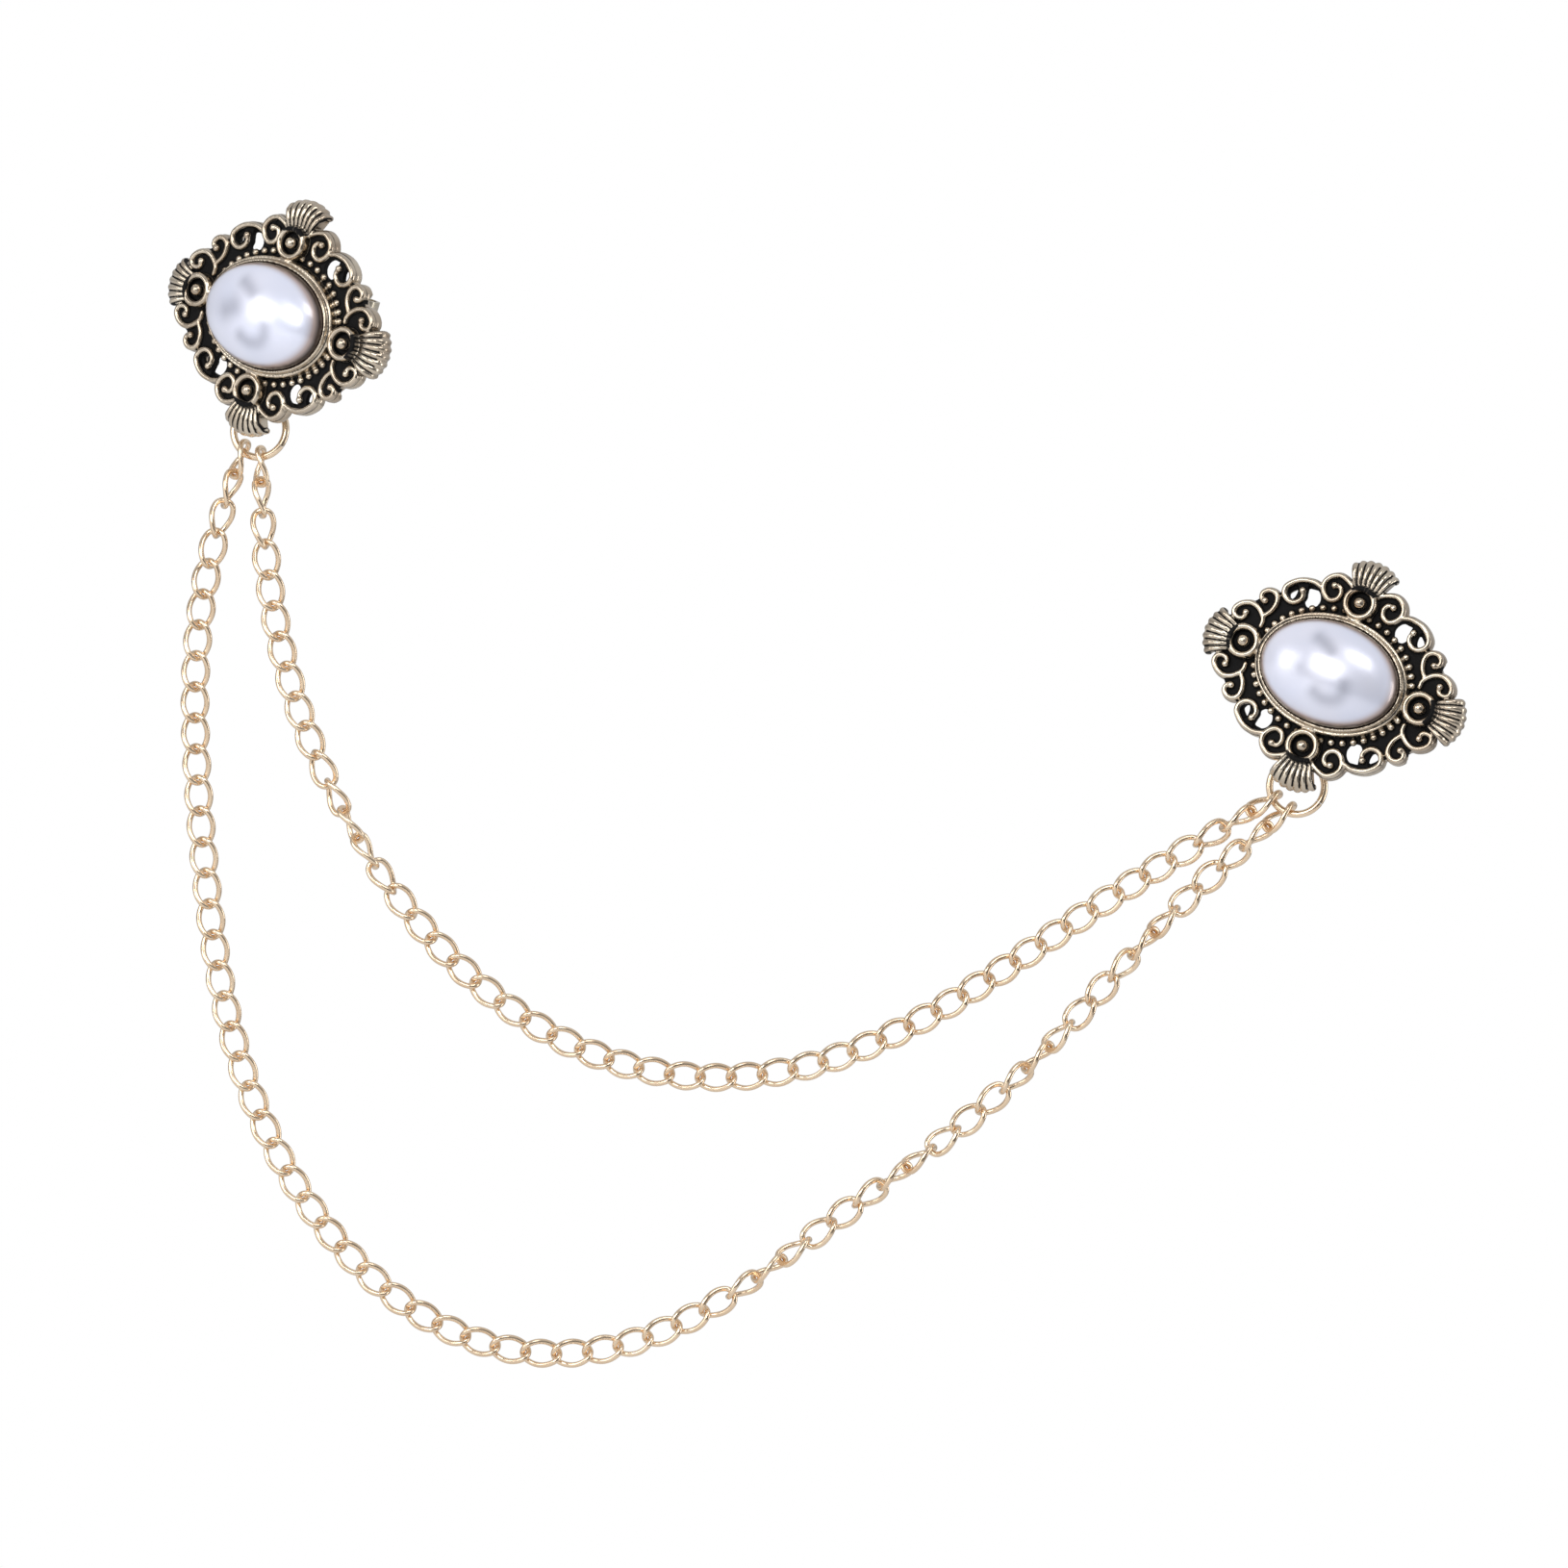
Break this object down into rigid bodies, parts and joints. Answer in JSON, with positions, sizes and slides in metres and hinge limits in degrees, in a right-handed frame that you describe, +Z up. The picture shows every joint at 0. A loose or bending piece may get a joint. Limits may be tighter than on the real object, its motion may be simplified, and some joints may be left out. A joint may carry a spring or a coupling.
{
  "type": "chained tack pair",
  "caption": "Pair of ornate oval pearl tacks with pin posts and clutches, joined by an inner and an outer swag of curb chain.",
  "frame": {"origin": "on the axis of the left tack's post, halfway along its bare length between the pad and the stop groove", "axes": "+Z is up, against gravity. +X runs level from the left tack towards the right one, along the chains. The fronts face -Y and the posts point +Y."},
  "size_m": [0.1309, 0.0198, 0.1036],
  "materials": {
    "antique_gold": "cast, pale antique gold with blackened recesses",
    "pearl": "pearl lacquer",
    "glue": "cured adhesive",
    "plated_steel": "pale gold plated steel",
    "rose_gold": "bright rose gold plate"
  },
  "bodies": {
    "tacks": {"left_casting": "antique_gold", "left_pearl": "pearl", "left_glue_bed": "glue", "left_tack_pad": "plated_steel", "left_tack_post": "plated_steel", "right_casting": "antique_gold", "right_pearl": "pearl", "right_glue_bed": "glue", "right_tack_pad": "plated_steel", "right_tack_post": "plated_steel"},
    "left_ring": {"left_jump_ring": "rose_gold"},
    "right_ring": {"right_jump_ring": "rose_gold"},
    "inner_chain": {"inner_chain_1": "rose_gold", "inner_chain_2": "rose_gold", "inner_chain_3": "rose_gold", "inner_chain_4": "rose_gold"},
    "outer_chain": {"outer_chain_1": "rose_gold", "outer_chain_2": "rose_gold", "outer_chain_3": "rose_gold", "outer_chain_4": "rose_gold", "outer_chain_5": "rose_gold", "outer_chain_6": "rose_gold"},
    "left_clutch": {"left_clutch_base": "plated_steel"},
    "left_wing_a": {"left_clutch_wing_a": "plated_steel"},
    "left_wing_b": {"left_clutch_wing_b": "plated_steel"},
    "right_clutch": {"right_clutch_base": "plated_steel"},
    "right_wing_a": {"right_clutch_wing_a": "plated_steel"},
    "right_wing_b": {"right_clutch_wing_b": "plated_steel"}
  },
  "joints": [
    {"name": "left_ring_swing", "type": "hinge", "parent": "tacks", "child": "left_ring", "pos_m": [0.00067, 0.00041, -0.0103], "axis": [0.9975, 0, 0.0701], "range_deg": [-4, 15]},
    {"name": "right_ring_swing", "type": "hinge", "parent": "tacks", "child": "right_ring", "pos_m": [0.10522, 0.00041, -0.00295], "axis": [0.9975, 0, 0.0701], "range_deg": [-4, 15]},
    {"name": "inner_chain_swing", "type": "hinge", "parent": "left_ring", "child": "inner_chain", "pos_m": [0.00144, 0.00013, -0.01448], "axis": [0.9972, 0.0048, 0.0746], "range_deg": [-8, 8]},
    {"name": "outer_chain_swing", "type": "hinge", "parent": "left_ring", "child": "outer_chain", "pos_m": [-0.00009, 0.00069, -0.01448], "axis": [0.9977, -0.0033, 0.0679], "range_deg": [-8, 8]},
    {"name": "left_clutch_slide", "type": "slide", "parent": "tacks", "child": "left_clutch", "axis": [0.5736, 0.8067, 0.1422], "range_m": [0, 0.02]},
    {"name": "left_wing_a_squeeze", "type": "hinge", "parent": "left_clutch", "child": "left_wing_a", "pos_m": [-0.00064, 0.00479, 0.00041], "axis": [-0.1069, -0.0984, 0.9894], "range_deg": [0, 10], "stiffness_Nm_per_rad": 0.002},
    {"name": "left_wing_b_squeeze", "type": "hinge", "parent": "left_clutch", "child": "left_wing_b", "pos_m": [0.00472, 0.00094, 0.0006], "axis": [-0.1069, -0.0984, 0.9894], "range_deg": [-10, 0], "stiffness_Nm_per_rad": 0.002},
    {"name": "right_clutch_slide", "type": "slide", "parent": "tacks", "child": "right_clutch", "axis": [0.2756, 0.9607, -0.0335], "range_m": [0, 0.02]},
    {"name": "right_wing_a_squeeze", "type": "hinge", "parent": "right_clutch", "child": "right_wing_a", "pos_m": [0.10306, 0.00586, 0.00711], "axis": [-0.0168, 0.0397, 0.9991], "range_deg": [0, 10], "stiffness_Nm_per_rad": 0.002},
    {"name": "right_wing_b_squeeze", "type": "hinge", "parent": "right_clutch", "child": "right_wing_b", "pos_m": [0.10941, 0.00404, 0.00729], "axis": [-0.0168, 0.0397, 0.9991], "range_deg": [-10, 0], "stiffness_Nm_per_rad": 0.002}
  ],
  "couplings": [
    {"joint": "right_ring_swing", "follows": "left_ring_swing", "ratio": 1},
    {"joint": "left_wing_b_squeeze", "follows": "left_wing_a_squeeze", "ratio": -1},
    {"joint": "right_wing_b_squeeze", "follows": "right_wing_a_squeeze", "ratio": -1}
  ]
}
